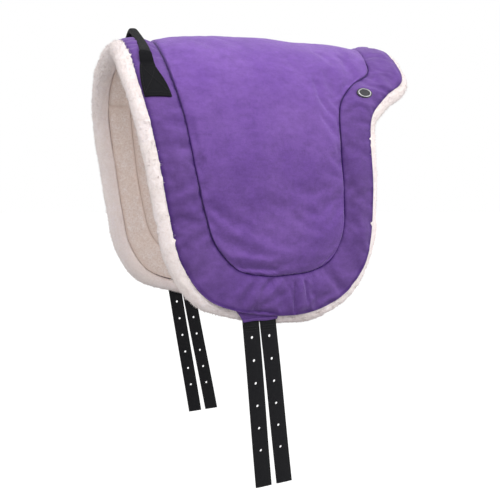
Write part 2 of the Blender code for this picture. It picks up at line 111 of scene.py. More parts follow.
# The suede as cloth: its settings, the foam's push and grip, and the most that a point may move
CLOTH = {
    "quality": 5, "mass": 0.25, "air_damping": 8.0, "tension_stiffness": 18.0,
    "compression_stiffness": 18.0, "shear_stiffness": 8.0, "bending_stiffness": 0.35,
    "pin_stiffness": 1.0, "shrink_min": -0.02, "use_pressure": True,
}
CLOTH_FRAMES = 20
SEAT_PUSH = 0.6
SEAT_GRIP = 0.06
SEAT_MOST = 0.0035
BORDER_PUSH = 0.5
BORDER_GRIP = 0.08
BORDER_MOST = 0.0025

# The fleece roll and the loose tips of its pile
ROLL_RADIUS = 0.0125
ROLL_TOP_DEPTH = 0.0038
ROLL_SIDE_GAP = 0.002
ROLL_PLUMP = 0.0024
ROLL_SQUEEZED_RADIUS = 0.0091
ROLL_SQUEEZED_TOP = 0.0098
ROLL_SQUEEZE_MARGIN = 0.016
ROLL_SQUEEZE_FADE = 0.045
ROLL_COLUMNS = 40
ROLL_TIPS = 46000
ROLL_PILE = 0.003
PILE_WIDTH = 0.00042
PILE_ROOT = 0.0006
PILE_LEAN = 0.42

# The lining: its border is tucked under the roll's side, and sewn across at this arc in front
LINING_TUCK = 0.0015
GULLET_SEAM_ARC = 0.14
LINING_SEAM_DIP = 0.0022
LINING_TIPS = 9000
LINING_PILE = 0.0022

# The cloth tabs at the bottom of the flaps
TAB_CENTRE = -0.0435
TAB_WIDTH = 0.054
TAB_DEPTH = 0.0036
TAB_HEIGHT = 0.022
TAB_FLARE = 0.55
TAB_COLUMNS = 29
TAB_ROWS = 15

# The badge's oval, and half the length of the middle line that the border stays flat round
BADGE_LENGTH = 0.028
BADGE_HEIGHT = 0.017
BADGE_PLACE = np.array([SPINE_LENGTH / 3.0, -0.178])
BADGE_FLAT = np.array([0.0055, 0.0])
BADGE_LIFT = 0.0002
BADGE_TURNS = 64

# The handle's arch, a folded length of webbing, and its two flat feet
HANDLE_U = -0.183
HANDLE_SHIFT = -0.0033
HANDLE_WIDTH = 0.017
HANDLE_THICKNESS = 0.0046
HANDLE_CREST_THICKNESS = 0.0084
HANDLE_PINCH = 0.0048
HANDLE_PINCH_POWER = 0.4
HANDLE_RISE = 0.0583
HANDLE_RISE_POWER = 1.803
HANDLE_REACH_POWER = 0.764
HANDLE_CREST = 0.492
HANDLE_LEAN = 0.389
HANDLE_BOW = 2.94
HANDLE_TWIST = math.radians(6.4)
HANDLE_ROWS = 57
FOOT_ROWS = 19
FOOT_THICKNESS = 0.0024
FOOT_GAP = 0.0006
# The foot's arc and its two sides in pattern places, from the crease down to its cut end
FOOT_SIDES = [
    (0.131, -0.1935, -0.1745), (0.14, -0.1955, -0.1735), (0.149, -0.1965, -0.1702),
    (0.158, -0.1972, -0.1662), (0.167, -0.1972, -0.163), (0.176, -0.1966, -0.1606),
    (0.1865, -0.1952, -0.1588),
]

# The billets and their punched holes
BILLET_WIDTH = 0.025
BILLET_THICKNESS = 0.0024
BILLET_LENGTH = 0.24
ANCHOR_LENGTH = 0.048
HOLE_RADIUS = 0.00225
HOLE_LIP = 0.0003
HOLE_PITCH = 0.033
HOLE_PLACES = [0.021 + k * HOLE_PITCH for k in range(6)]
# How far each billet leans back, in degrees
BILLET_LEANS = {"left_front": 4.8, "left_rear": 6.4, "right_front": 9.0, "right_rear": 10.7}

# The light, the floor and the camera; each lamp has its place, size and power in watts
SKY_ABOVE = 0.92
SKY_BELOW = 0.74
LAMP_AIM = Vector((0.02, 0.0, -0.2))
LAMPS = {
    "over_the_near_side": ((-0.15, -0.9, 0.42), 0.8, 5.0),
    "behind": ((1.3, -0.6, -0.3), 1.0, 7.0),
    "in_front": ((-1.5, -0.6, -0.1), 1.0, 3.0),
}
FLOOR_GLOW = 0.76
FLOOR_RADIUS = 30.0
FLOOR_HEIGHT = -0.72
CAMERA_PLACE = Vector((-0.4041, -0.9124, -0.23))
CAMERA_RIGHT = Vector((0.906, -0.4232, -0.0028))
CAMERA_UP = Vector((0.0356, 0.0695, 0.997))
CAMERA_LENS = 42.92

# Outlines of half the pad as shares of SPINE_LENGTH and FLAP_DROP, from the front ridge down one
# branch, round the bottom and up the other branch to the rear ridge
edge_shares = [
    (-0.444, 0.0), (-0.449, 0.1), (-0.451, 0.192), (-0.446, 0.297), (-0.427, 0.416),
    (-0.404, 0.545), (-0.38, 0.683), (-0.351, 0.802), (-0.271, 0.913), (-0.135, 0.973),
    (0.015, 0.999), (0.133, 0.984), (0.233, 0.935), (0.313, 0.832), (0.337, 0.663), (0.336, 0.505),
    (0.358, 0.42), (0.436, 0.356), (0.518, 0.31), (0.538, 0.22), (0.556, 0.0),
]
seam_shares = [
    (-0.333, 0.0), (-0.342, 0.105), (-0.347, 0.195), (-0.34, 0.297), (-0.318, 0.426),
    (-0.296, 0.564), (-0.271, 0.683), (-0.24, 0.772), (-0.169, 0.848), (-0.084, 0.876),
    (0.0, 0.883), (0.089, 0.877), (0.164, 0.846), (0.214, 0.762), (0.22, 0.653), (0.216, 0.515),
    (0.231, 0.396), (0.3, 0.319), (0.388, 0.266), (0.418, 0.19), (0.453, 0.0),
]
ridge_shares = [
    (-0.578, -0.95), (-0.4, -1.0), (-0.2, -0.46), (0.0, 0.0),
    (0.2, 0.1), (0.4, 0.33), (0.533, 0.82), (0.667, 0.86),
]

# Folds of the suede in pattern places: where each starts and ends, its width and its height
SEAT_FOLDS = [
    ((-0.074, -0.425), (-0.02, -0.4345), 0.0046, -0.0028),
    ((-0.095, -0.406), (-0.025, -0.422), 0.006, 0.0014),
    ((-0.05, -0.408), (0.04, -0.42), 0.009, 0.001),
]
BORDER_FOLDS = [
    ((0.0117, -0.46), (0.0092, -0.4985), 0.0026, -0.003),
    ((0.0266, -0.458), (0.0293, -0.486), 0.0026, -0.0024),
    ((0.019, -0.462), (0.019, -0.492), 0.004, 0.0012),
    ((0.04, -0.456), (0.038, -0.476), 0.004, -0.0012),
    ((-0.0599, -0.4472), (-0.0784, -0.4606), 0.0034, 0.002),
    ((-0.054, -0.452), (-0.07, -0.47), 0.0034, -0.002),
    ((-0.0181, -0.447), (-0.0405, -0.4613), 0.0036, -0.0022),
    ((-0.01, -0.453), (-0.033, -0.47), 0.0036, 0.0018),
    ((-0.044, -0.483), (-0.0062, -0.4719), 0.004, -0.0018),
    ((0.0459, -0.4856), (0.0929, -0.4689), 0.006, -0.002),
    ((0.07, -0.44), (0.085, -0.47), 0.006, -0.0016),
    ((0.1644, -0.19), (0.1991, -0.2214), 0.006, -0.0018),
    ((0.15, -0.2), (0.188, -0.235), 0.005, 0.0014),
    ((0.204, -0.085), (0.238, -0.112), 0.006, -0.0014),
    ((-0.1266, -0.4281), (-0.1034, -0.4644), 0.006, -0.0014),
]
# Lines under the handle's feet and the badge, and how far the border stays flat round them
FLAT_LINES = [
    ((-0.184, -0.131), (-0.1777, -0.1865), 0.019),
    ((-0.184, 0.131), (-0.1777, 0.1865), 0.019),
    (BADGE_PLACE - BADGE_FLAT, BADGE_PLACE + BADGE_FLAT, 0.009),
]
FLAT_FADE = 0.01

# Sections of the badge from its middle outwards, as shares of its half size, with their heights
BADGE_FACE = [
    (0.02, 0.0016), (0.3, 0.00158), (0.55, 0.0015), (0.66, 0.00138), (0.7, 0.0011), (0.7, 0.0),
]
BADGE_RING = [
    (0.715, 0.001), (0.72, 0.00175), (0.745, 0.00205), (0.79, 0.0021), (0.825, 0.0019),
    (0.835, 0.0015), (0.87, 0.00145), (0.95, 0.00135), (0.985, 0.00105), (1.0, 0.0005),
    (1.0, 0.0), (0.715, 0.0),
]
SILVER_ROWS = 5

# How finely the panels are woven
BRANCH_SPANS = 9
BRANCH_STEPS = 12
BOTTOM_STEPS = 36
BORDER_COLUMNS = 16
LINING_COLUMNS = 8
GULLET_SPAN = 3
RUNG_CROWDING = 0.07
CLOSE_LINES = [0.08, 0.18, 0.32, 0.55]
SIDES = {"left": -1, "right": 1}
MIRROR = np.array([1.0, -1.0])


# Shader maths


class Socket:
    """An output socket that takes part in sums: each operator adds a Math node."""

    def __init__(self, look, link):
        self.look = look
        self.link = link

    def math(self, operation, *others):
        values = dict(enumerate((self, *others)))
        return self.look.node("ShaderNodeMath", {"operation": operation}, values)

    def __add__(self, other):
        return self.math("ADD", other)

    def __sub__(self, other):
        return self.math("SUBTRACT", other)

    def __rsub__(self, other):
        return self.math("MULTIPLY_ADD", -1.0, other)

    def __mul__(self, other):
        return self.math("MULTIPLY", other)

    __radd__ = __add__


class Nodes:
    """A node tree and the one way that nodes are added to it."""

    def __init__(self, tree):
        self.tree = tree

    def node(self, kind, settings=None, values=None, output=0):
        made = self.tree.nodes.new(kind)
        for key, value in (settings or {}).items():
            setattr(made, key, value)
        for key, value in (values or {}).items():
            self.put(made.inputs[key], value)
        return Socket(self, made.outputs[output] if made.outputs else None)

    def put(self, socket, value):
        if isinstance(value, Socket):
            self.tree.links.new(value.link, socket)
        else:
            socket.default_value = value

    def spread(self, value, low, high):
        """Stretches the values between low and high to 0 to 1."""
        return self.node("ShaderNodeMapRange", None, {"Value": value, "From Min": low, "From Max": high})

    def part(self, vector, axis):
        """One of a vector's three numbers."""
        return self.node("ShaderNodeSeparateXYZ", None, {0: vector}, output=axis)

    def grey(self, value):
        return self.node("ShaderNodeCombineColor", None, {0: value, 1: value, 2: value})

    def seen_directly(self):
        """1 where the camera sees this, also mirrored or through glass, and 0 where it only lights."""
        seen = 0.0
        for kind in ("Camera", "Glossy", "Transmission"):
            seen = self.node("ShaderNodeLightPath", output=f"Is {kind} Ray").math("MAXIMUM", seen)
        return seen


class Look(Nodes):
    """A material with its Principled shader."""

    def __init__(self, name, **finish):
        self.material = bpy.data.materials.new(name)
        self.material.use_nodes = True
        super().__init__(self.material.node_tree)
        self.shader = self.tree.nodes["Principled BSDF"]
        self.feed(**finish)

    def feed(self, **values):
        for key, value in values.items():
            self.put(self.shader.inputs[key.replace("_", " ")], value)

    def place(self, kind="Object"):
        return self.node("ShaderNodeTexCoord", output=kind)

    def speckle(self, scale, detail, roughness, low, high, stretch=(1.0, 1.0, 1.0)):
        """Noise with so many cells to the metre, spread from low and high to 0 and 1."""
        at = self.node("ShaderNodeMapping", None, {"Vector": self.place(), "Scale": stretch})
        values = {"Vector": at, "Scale": scale, "Detail": detail, "Roughness": roughness}
        return self.spread(self.node("ShaderNodeTexNoise", None, values), low, high)

    def wave(self, value, pitch):
        return (value * (2.0 * math.pi / pitch)).math("SINE")

    def mix(self, factor, first, second, how="MIX"):
        """Mixes two colours."""
        colours = [c if isinstance(c, Socket) else (*c, 1.0) for c in (first, second)]
        values = {0: factor, 6: colours[0], 7: colours[1]}
        return self.node("ShaderNodeMix", {"data_type": "RGBA", "blend_type": how}, values, output=2)

    def shade(self, colour, strength):
        """Multiplies a colour by a number."""
        return self.mix(1.0, colour, self.grey(strength), "MULTIPLY")

    def painted(self, name):
        """A number painted on the mesh's points."""
        return self.node("ShaderNodeAttribute", {"attribute_name": name}, output="Fac")

    def bump(self, height, distance, strength):
        values = {"Height": height, "Distance": distance, "Strength": strength}
        self.feed(Normal=self.node("ShaderNodeBump", None, values))


def suede_look(name, painted_shade_scale=1.0):
    """Purple microsuede: a brushed nap in soft patches, with painted light that makes it paler facing
    up, painted shade that darkens a whole copy by a scale, and darker where it is sewn, where the dark
    is in part painted shade.
    """
    look = Look(name, Sheen_Weight=0.5, Sheen_Roughness=0.4, Specular_IOR_Level=0.12)
    look.feed(Sheen_Tint=(0.72, 0.56, 1.0, 1.0))
    patches = look.speckle(14.0, 4.0, 0.6, 0.34, 0.66)
    strokes = look.speckle(46.0, 4.0, 0.65, 0.34, 0.66, stretch=(1.0, 1.0, 2.4))
    mottle = look.speckle(150.0, 4.0, 0.62, 0.32, 0.68)
    grain = look.speckle(520.0, 3.0, 0.65, 0.3, 0.7)
    fibres = look.speckle(1500.0, 2.0, 0.7, 0.25, 0.75)
    nap = look.mix(patches, (0.186, 0.086, 0.378), (0.229, 0.114, 0.432))
    # Painted light: the suede is paler where it faces up, as if lit from above
    painted_top_light = look.spread(look.part(look.place("Normal"), 2), -0.2, 0.7)
    worn = 0.7 + strokes * 0.16 + mottle * 0.16 + grain * 0.12 + fibres * 0.1
    # Painted shade: a scale below 1 darkens the whole copy, as for the border
    colour = look.shade(nap, worn * (0.6 + painted_top_light * 0.42) * painted_shade_scale)
    look.feed(Base_Color=look.mix(look.painted("sewn"), colour, (0.024, 0.003, 0.088)))
    look.feed(Roughness=0.8 + mottle * 0.12)
    look.bump(fibres * 0.3 + grain * 0.25 + mottle * 0.25 + strokes * 0.2, 0.0006, 0.7)
    return look.material


def fleece_look(name, light, warm, shade, matted):
    """Short plush pile: pale tips, warmer and darker down between the tufts as painted shade, with
    painted shade along the lining's seams from its sewn paint.
    """
    look = Look(name, Sheen_Weight=0.15, Sheen_Roughness=0.6, Specular_IOR_Level=0.05)
    patches = look.speckle(26.0, 3.0, 0.6, 0.34, 0.66)
    tufts = look.speckle(330.0, 3.0, 0.65, 0.3, 0.62)
    fibres = look.speckle(1400.0, 2.0, 0.7, 0.25, 0.75)
    mottle = look.speckle(95.0, 4.0, 0.65, 0.34, 0.66)
    colour = look.mix(tufts, shade, look.mix(patches, light, warm))
    colour = look.mix(mottle * matted, colour, shade)
    # Painted shade along the lining's seams, from the sewn paint
    colour = look.mix(look.painted("sewn") * 0.85, colour, shade)
    look.feed(Base_Color=look.shade(colour, 0.95 + fibres * 0.07))
    look.feed(Roughness=0.9 + fibres * 0.08)
    look.bump(tufts * 0.55 + mottle * 0.25 + fibres * 0.2, 0.0014, 0.5)
    return look.material


def webbing_look(name):
    """Black woven webbing: weft ribs crossed by the warp, from the strap's own UV in metres."""
    look = Look(name, Specular_IOR_Level=0.14)
    across = look.part(look.place("UV"), 0)
    along = look.part(look.place("UV"), 1)
    warp = look.wave(across, 0.0016) * 0.5 + 0.5
    chevron = look.wave(across, 0.0032).math("ABSOLUTE") * 0.0008
    weft = look.wave(along + chevron, 0.0013) * 0.5 + 0.5
    weave = weft * 0.65 + warp * 0.35
    fuzz = look.speckle(900.0, 3.0, 0.6, 0.3, 0.7)
    worn = look.speckle(60.0, 3.0, 0.6, 0.35, 0.75)
    tone = look.mix(weave, (0.004, 0.004, 0.006), (0.0036, 0.0036, 0.00468))
    tone = look.mix(worn * 0.25, tone, (0.0054, 0.0054, 0.00648))
    look.feed(Base_Color=tone, Roughness=0.62 + fuzz * 0.18 - weave * 0.08)
    look.bump(weave * 0.8 + fuzz * 0.2, 0.00035, 0.9)
    return look.material


def thread_look(name, colour):
    """Twisted sewing thread."""
    look = Look(name, Specular_IOR_Level=0.35)
    twist = look.speckle(1800.0, 2.0, 0.5, 0.3, 0.7)
    look.feed(Base_Color=look.shade(colour, 0.8 + twist * 0.4), Roughness=0.55 + twist * 0.2)
    look.bump(twist, 0.0001, 0.6)
    return look.material


def moulded_look(name, colour, roughness, metallic=0.0):
    """A moulded face with a fine grain and faint rubbed patches."""
    look = Look(name, Metallic=metallic, Specular_IOR_Level=0.45)
    grain = look.speckle(2600.0, 2.0, 0.6, 0.3, 0.7)
    rubbed = look.speckle(180.0, 3.0, 0.6, 0.35, 0.7)
    look.feed(Base_Color=look.shade(colour, 0.85 + rubbed * 0.3), Roughness=roughness + grain * 0.12)
    look.bump(grain, 0.00006, 0.6)
    return look.material


# Small shapes of number


def peak(gap, width):
    """1 where the gap is 0, falling off like a bell over the width."""
    return np.exp(-((gap / width) ** 2))


def ramp(gap, reach):
    """From 0 to 1 over the reach, and 1 beyond it."""
    return np.minimum(gap / reach, 1.0)


def eased(share):
    """A share from 0 to 1 with a soft start and end."""
    return share * share * (3.0 - 2.0 * share)


def faded(share):
    """1 at a share of 0, falling off softly to 0 at a share of 1."""
    return 0.5 + 0.5 * np.cos(math.pi * share)


def circle(count):
    """Cosines and sines of even turns round a circle."""
    turn = np.linspace(0.0, 2.0 * math.pi, count, endpoint=False)
    return np.cos(turn), np.sin(turn)


def unit(vectors):
    return vectors / np.linalg.norm(vectors, axis=-1, keepdims=True)


def pairs(first, second):
    return np.stack(np.broadcast_arrays(first, second), axis=-1)


def run_length(points):
    """Distance of each point from the first one, along the line."""
    return np.cumsum(np.r_[0.0, np.linalg.norm(np.diff(points, axis=0), axis=1)])


# The pattern and its drape


def catmull(before, start, end, after, share):
    """A point on the smooth curve from start to end."""
    return 0.5 * (
        2.0 * start
        + (end - before) * share
        + (2.0 * before - 5.0 * start + 4.0 * end - after) * share**2
        + (3.0 * start - before - 3.0 * end + after) * share**3
    )


def ridge_height(u):
    """Height of the ridge at u, above its height at the origin."""
    stations, heights = (np.array(ridge_shares) * (SPINE_LENGTH, RIDGE_RISE)).T
    i = np.clip(np.searchsorted(stations, u) - 1, 1, len(stations) - 3)
    share = np.clip((u - stations[i]) / (stations[i + 1] - stations[i]), 0.0, 1.0)
    return catmull(heights[i - 1], heights[i], heights[i + 1], heights[i + 2], share)


def slope_at(arc):
    """How steeply the pad falls away from level at an arc length from the ridge."""
    return FLAP_ANGLE * np.sin(0.5 * math.pi * ramp(arc, SHOULDER_ARC))


def drape(pattern, height):
    """The places of pattern points that stand at a height above the sewn outside surface."""
    u = pattern[..., 0]
    v = pattern[..., 1]
    arc = np.abs(v)
    shoulder = np.minimum(arc, SHOULDER_ARC)
    step = shoulder / STEPS_PER_SHOULDER
    across = math.cos(FLAP_ANGLE) * (arc - shoulder)
    down = math.sin(FLAP_ANGLE) * (arc - shoulder)
    for k in range(STEPS_PER_SHOULDER):
        slope = slope_at((k + 0.5) * step)
        across = across + np.cos(slope) * step
        down = down + np.sin(slope) * step
    slope = slope_at(arc)
    across = across + np.sin(slope) * height
    up = ridge_height(u) - down + np.cos(slope) * height + PAD_THICKNESS
    return np.stack([u, np.copysign(across, v), up], axis=-1)


def outward(pattern):
    """The direction that points straight out of the pad."""
    slope = slope_at(np.abs(pattern[..., 1]))
    side = np.copysign(np.sin(slope), pattern[..., 1])
    return np.stack([np.zeros_like(slope), side, np.cos(slope)], axis=-1)


def outline(shares):
    """A closed outline from its near half."""
    points = np.array(shares) * (SPINE_LENGTH, -FLAP_DROP)
    held = [points[1] * MIRROR, *points, points[-2] * MIRROR]
    spans = len(points) - 1
    line = []
    for i in range(spans):
        steps = BOTTOM_STEPS if BRANCH_SPANS <= i < spans - BRANCH_SPANS else BRANCH_STEPS
        line += [catmull(*held[i:i + 4], k / steps) for k in range(steps)]
    half = np.array([*line, points[-1]])
    return np.concatenate([half, half[-2:0:-1] * MIRROR])


def offset_loop(loop, distance):
    """The outline moved inwards by distance, along its own normals."""
    along = np.roll(loop, -1, axis=0) - np.roll(loop, 1, axis=0)
    inward = np.stack([-along[:, 1], along[:, 0]], axis=-1)
    return loop + unit(inward) * distance


def distance_to(points, starts, ends):
    """Distance from each pattern point to the nearest of some straight lines."""
    flat = points.reshape(-1, 2)
    starts = np.atleast_2d(starts)
    along = np.atleast_2d(ends) - starts
    length = np.maximum((along**2).sum(axis=1), 1e-12)
    nearest = np.empty(len(flat))
    batch = 2000
    for i in range(0, len(flat), batch):
        gap = flat[i:i + batch, None, :] - starts[None]
        share = np.clip((gap * along).sum(axis=2) / length, 0.0, 1.0)
        off = gap - along * share[..., None]
        nearest[i:i + batch] = np.sqrt((off**2).sum(axis=2).min(axis=1))
    return nearest.reshape(points.shape[:-1])


def distance_to_loop(points, loop):
    return distance_to(points, loop, np.roll(loop, -1, axis=0))


def across_border(pattern):
    """Each point's distance to the seam and to the edge, and its share of the way across."""
    to_seam = distance_to_loop(pattern, SEAM)
    to_edge = distance_to_loop(pattern, EDGE)
    return to_seam, to_edge, to_seam / (to_seam + to_edge)


def ripple(pattern, layers):
    """Smooth unevenness over pattern points."""
    total = np.zeros(pattern.shape[:-1])
    for rise, cells, seed in layers:
        values = [noise.noise(Vector((u * cells, v * cells, seed))) for u, v in pattern.reshape(-1, 2)]
        total += 2.0 * rise * np.array(values).reshape(total.shape)
    return total


def lumps(places, cells):
    """Smooth noise from about -1 to 1 over places, with so many cells to the metre."""
    values = [noise.noise(Vector(p) * cells) for p in places.reshape(-1, 3)]
    return np.array(values).reshape(places.shape[:-1])


EDGE = outline(edge_shares)
SEAM = outline(seam_shares)
RING = len(EDGE)
BRANCH = BRANCH_STEPS * BRANCH_SPANS
HINGES = {joint["name"]: Vector(joint["pos_m"]) for joint in frame["record"]["behaviour"]["joints"]}


# Meshes


def grid_faces(rows, columns, ring=False, tube=False):
    """Quads of a grid of points; ring joins the last row to the first, tube the last column."""
    down = np.arange(rows if ring else rows - 1)[:, None] * columns
    right = np.arange(columns if tube else columns - 1)[None, :]
    below = (down + columns) % (rows * columns)
    beside = (right + 1) % columns
    quads = [down + right, down + beside, below + beside, below + right]
    return np.stack(np.broadcast_arrays(*quads), axis=-1).reshape(-1, 4)


def closed_tube(rows, around):
    """Faces of a tube of points with both ends closed."""
    ends = [list(range(around)), list(range((rows - 1) * around, rows * around))]
    return [*grid_faces(rows, around, tube=True).tolist(), *ends]


def linked(name, data):
    """A new object in the scene."""
    obj = bpy.data.objects.new(name, data)
    scene.collection.objects.link(obj)
    return obj


def raw_mesh(name, points, faces):
    mesh = bpy.data.meshes.new(name)
    mesh.from_pydata(np.asarray(points).reshape(-1, 3).tolist(), [], [list(map(int, f)) for f in faces])
    return mesh


def make_piece(name, points, faces, looks, body="pad", uv=None, sewn=None, angle=60.0):
    """A mesh object that rides on a body, with its UV and sewn paint given for each point."""
    mesh = raw_mesh(name, points, faces)
    bm = bmesh.new()
    bm.from_mesh(mesh)
    bmesh.ops.recalc_face_normals(bm, faces=bm.faces)
    bm.to_mesh(mesh)
    bm.free()
    for look in looks:
        mesh.materials.append(look)
    if uv is not None:
        corner = np.empty(len(mesh.loops), np.int32)
        mesh.loops.foreach_get("vertex_index", corner)
        layer = mesh.uv_layers.new(name="pattern")
        layer.data.foreach_set("uv", np.asarray(uv, np.float32).reshape(-1, 2)[corner].ravel())
    if sewn is not None:
        layer = mesh.attributes.new("sewn", "FLOAT", "POINT")
        layer.data.foreach_set("value", np.asarray(sewn, np.float32).ravel())
    mesh.shade_smooth()
    mesh.set_sharp_from_angle(angle=math.radians(angle))
    obj = linked(name, mesh)
    if body:
        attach(obj, body)
    return obj


def make_panel(name, top, bottom, pattern, look, sewn, sewn_below=1.0, ring=False):
    """A closed panel between two grids of places, painted with the same sewn lines below, scaled by
    sewn_below; the paint on a seam's walls is painted shade in its channel.
    """
    rows, columns = sewn.shape
    upper = grid_faces(rows, columns, ring)
    index = np.arange(sewn.size).reshape(rows, columns)
    rims = [index[:, 0], index[::-1, -1]]
    if ring:
        rims = [np.append(rim, rim[0]) for rim in rims]
    else:
        rims += [index[-1, :], index[0, ::-1]]
    walls = [np.stack([a[:-1], a[1:], a[1:] + sewn.size, a[:-1] + sewn.size], axis=1) for a in rims]
    faces = np.concatenate([upper, upper[:, ::-1] + sewn.size, *walls])
    paint = np.stack([sewn, sewn * sewn_below])
    return make_piece(name, np.stack([top, bottom]), faces, [look], uv=[pattern, pattern], sewn=paint)


def closer(values, *axes):
    """The same grid with extra lines of points close to its first and last ones along some axes."""
    for axis in axes:
        values = np.moveaxis(values, axis, 0)
        last = len(values) - 1
        extra = np.array(CLOSE_LINES)
        places = np.concatenate([[0.0], extra, np.arange(1, last), last - extra[::-1], [last]])
        low = np.minimum(places.astype(int), last - 1)
        share = (places - low).reshape((-1,) + (1,) * (values.ndim - 1))
        values = np.moveaxis(values[low] * (1.0 - share) + values[low + 1] * share, 0, axis)
    return values


def settled(top, faces, sewn, push, most):
    """Runs a sewn panel as cloth over its foam, and gives back the way that each point moves.

    sewn holds the panel where it is: 1 on a seam, and a little everywhere for the grip of the foam.
    """
    panel = linked("panel", raw_mesh("panel", top, faces))
    held = panel.vertex_groups.new(name="sewn")
    for i, weight in enumerate(sewn.ravel()):
        held.add([i], float(weight), "REPLACE")
    cloth = panel.modifiers.new("cloth", "CLOTH")
    for key, value in CLOTH.items():
        setattr(cloth.settings, key, value)
    cloth.settings.vertex_group_mass = held.name
    cloth.settings.uniform_pressure_force = push
    cloth.settings.effector_weights.gravity = 0.0
    cloth.collision_settings.use_collision = False
    cloth.point_cache.frame_start = 1
    cloth.point_cache.frame_end = CLOTH_FRAMES
    for k in range(1, CLOTH_FRAMES + 1):
        scene.frame_set(k)
    done = panel.evaluated_get(bpy.context.evaluated_depsgraph_get())
    moved = np.empty(top.size, np.float32)
    done.data.vertices.foreach_get("co", moved)
    moved = moved.reshape(top.shape) - top
    bpy.data.objects.remove(panel, do_unlink=True)
    scene.frame_set(1)
    length = np.linalg.norm(moved, axis=-1, keepdims=True)
    return moved * np.minimum(1.0, most / np.maximum(length, 1e-9))


# The suede panels


def seat_grid(loop):
    """Rungs across the seat, from the near bottom over the ridge to the far bottom."""
    half = RING // 2
    columns = 2 * BOTTOM_STEPS + 1
    share = np.linspace(0.0, 1.0, columns)[:, None]
    share = share - RUNG_CROWDING * np.sin(2.0 * math.pi * share) / (2.0 * math.pi)
    rows = []
    for k in range(BRANCH, -BRANCH - 1, -1):
        side = 1 if k >= 0 else -1
        front = loop[abs(k) * side % RING]
        rear = loop[(half - abs(k) * side) % RING]
        rung = front * (1.0 - share) + rear * share
        bottom = loop[(BRANCH + np.arange(columns)) * side % RING]
        mix = max(0.0, 1.0 - (BRANCH - abs(k)) / BRANCH_STEPS) ** 2
        rows.append(rung * (1.0 - mix) + bottom * mix)
    return np.array(rows)


def gathers(count=44, seed=7):
    """Short uneven folds across the border, most of them round the bottom of each flap."""
    rng = np.random.default_rng(seed)
    listed = []
    bottom = BRANCH + BOTTOM_STEPS
    for side in (1, -1):
        for _ in range(count):
            row = int(rng.normal(bottom, 62.0)) * side % RING
            inner, outer = SEAM[row], EDGE[row]
            across = outer - inner
            aside = np.array([-across[1], across[0]]) * rng.normal(0.0, 0.22)
            low, high = np.sort(rng.uniform(0.1, 0.92, 2))
            rise = rng.choice([-1.0, -1.0, 1.0]) * rng.uniform(0.0005, 0.0013)
            start, end = inner + across * low, inner + across * high + aside
            listed.append((start, end, rng.uniform(0.0035, 0.0075), rise))
    return listed


def folds(pattern, listed):
    """Height of some folds of the cloth at each pattern point."""
    height = np.zeros(pattern.shape[:-1])
    for start, end, width, rise in listed:
        height += rise * peak(distance_to(pattern, start, end), width)
    return height


def puckers(pattern, gap):
    """Small gathers of the border where it is sewn down at its edge."""
    turn = 2.0 * math.pi * run_length(pattern[:, 0]) / PUCKER_PITCH
    wave = np.sin(turn + ripple(pattern[:, 0], PUCKER_WANDER))
    return PUCKER_RISE * wave[:, None] * np.exp(-gap / PUCKER_REACH) * ramp(gap, 0.002)


def seat_top(pattern):
    """Places and sewn weights of the seat's outside, full in the middle and steep at its channel."""
    gap = distance_to_loop(pattern, SEAM)
    crown = np.sin(0.5 * math.pi * ramp(gap, SEAT_CROWN_REACH)) ** 0.8
    height = (SEAT_CROWN + SEAM_DIP - SEAT_LIP) * crown - SEAM_DIP
    height += SEAT_LIP * (1.0 - np.exp(-gap / SEAT_LIP_REACH))
    height += ripple(pattern, SEAT_RIPPLES) * ramp(gap, 0.012)
    height += folds(pattern, SEAT_FOLDS) * ramp(gap, FOLD_FADE)
    return drape(pattern, height), np.where(gap < 2.0 * SEAM_GAP, 1.0, SEAT_GRIP)


def make_seat(look):
    pattern = seat_grid(offset_loop(SEAM, SEAM_GAP))
    places, sewn = seat_top(pattern)
    moved = settled(places, grid_faces(*sewn.shape), sewn, SEAT_PUSH, SEAT_MOST)
    pattern = closer(pattern, 0, 1)
    top = seat_top(pattern)[0] + closer(moved, 0, 1)
    meeting = closer(seat_grid(offset_loop(SEAM, -SEAM_GAP)), 0, 1)
    # The seam's dark line: a dark joint and painted shade, painted below too so that the channel's walls
    # stay dark
    seams_and_painted_shade = peak(distance_to_loop(pattern, SEAM), SEWN_LINE_AND_SHADE)
    seat = make_panel("seat_cushion", top, drape(meeting, -FOAM_DEPTH), pattern, look, seams_and_painted_shade)
    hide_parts("seat_cover", "seat_foam")


def border_grid(inner, outer, shares):
    return inner[:, None, :] * (1.0 - shares[None, :, None]) + outer[:, None, :] * shares[None, :, None]


def border_height(share):
    """Height of the border at a share of its width, from the seam to the outer edge."""
    sewn = SEAM_DIP + (EDGE_TUCK - SEAM_DIP) * share
    return BORDER_CROWN * np.maximum(np.sin(math.pi * share), 0.0) ** 0.62 - sewn


def held_flat(pattern):
    """1 under the badge and the feet of the handle, where the border stays flat, and 0 clear of them."""
    gaps = [distance_to(pattern, start, end) - reach for start, end, reach in FLAT_LINES]
    return faded(np.clip(np.min(gaps, axis=0) / FLAT_FADE, 0.0, 1.0))


def turned_hem(pattern):
    """1 round the bottom of each flap, where the hem shows below its stitching, and 0 elsewhere."""
    return eased(np.clip((np.abs(pattern[..., 1]) - HEM_START) / HEM_FADE, 0.0, 1.0))


def border_top(pattern, wrinkles):
    """Places, height and sewn weights of the border's outside, with its channel, folds and hem."""
    to_seam, to_edge, share = across_border(pattern)
    near = np.minimum(to_seam, to_edge)
    loose = folds(pattern, wrinkles) * ramp(near, FOLD_FADE)
    loose += ripple(pattern, BORDER_RIPPLES) * ramp(near, 0.01)
    loose += puckers(pattern, to_edge)
    flat = held_flat(pattern)
    height = border_height(share) + loose * (1.0 - flat)
    sunk = peak(to_edge - HEM_WIDTH, 0.0009) - peak(to_edge - 0.45 * HEM_WIDTH, 0.0012)
    height -= turned_hem(pattern) * HEM_RISE * sunk
    held = (to_seam < 2.0 * SEAM_GAP) | (to_edge < SEAM_GAP)
    return drape(pattern, height), height, np.where(held, 1.0, np.maximum(BORDER_GRIP, flat))


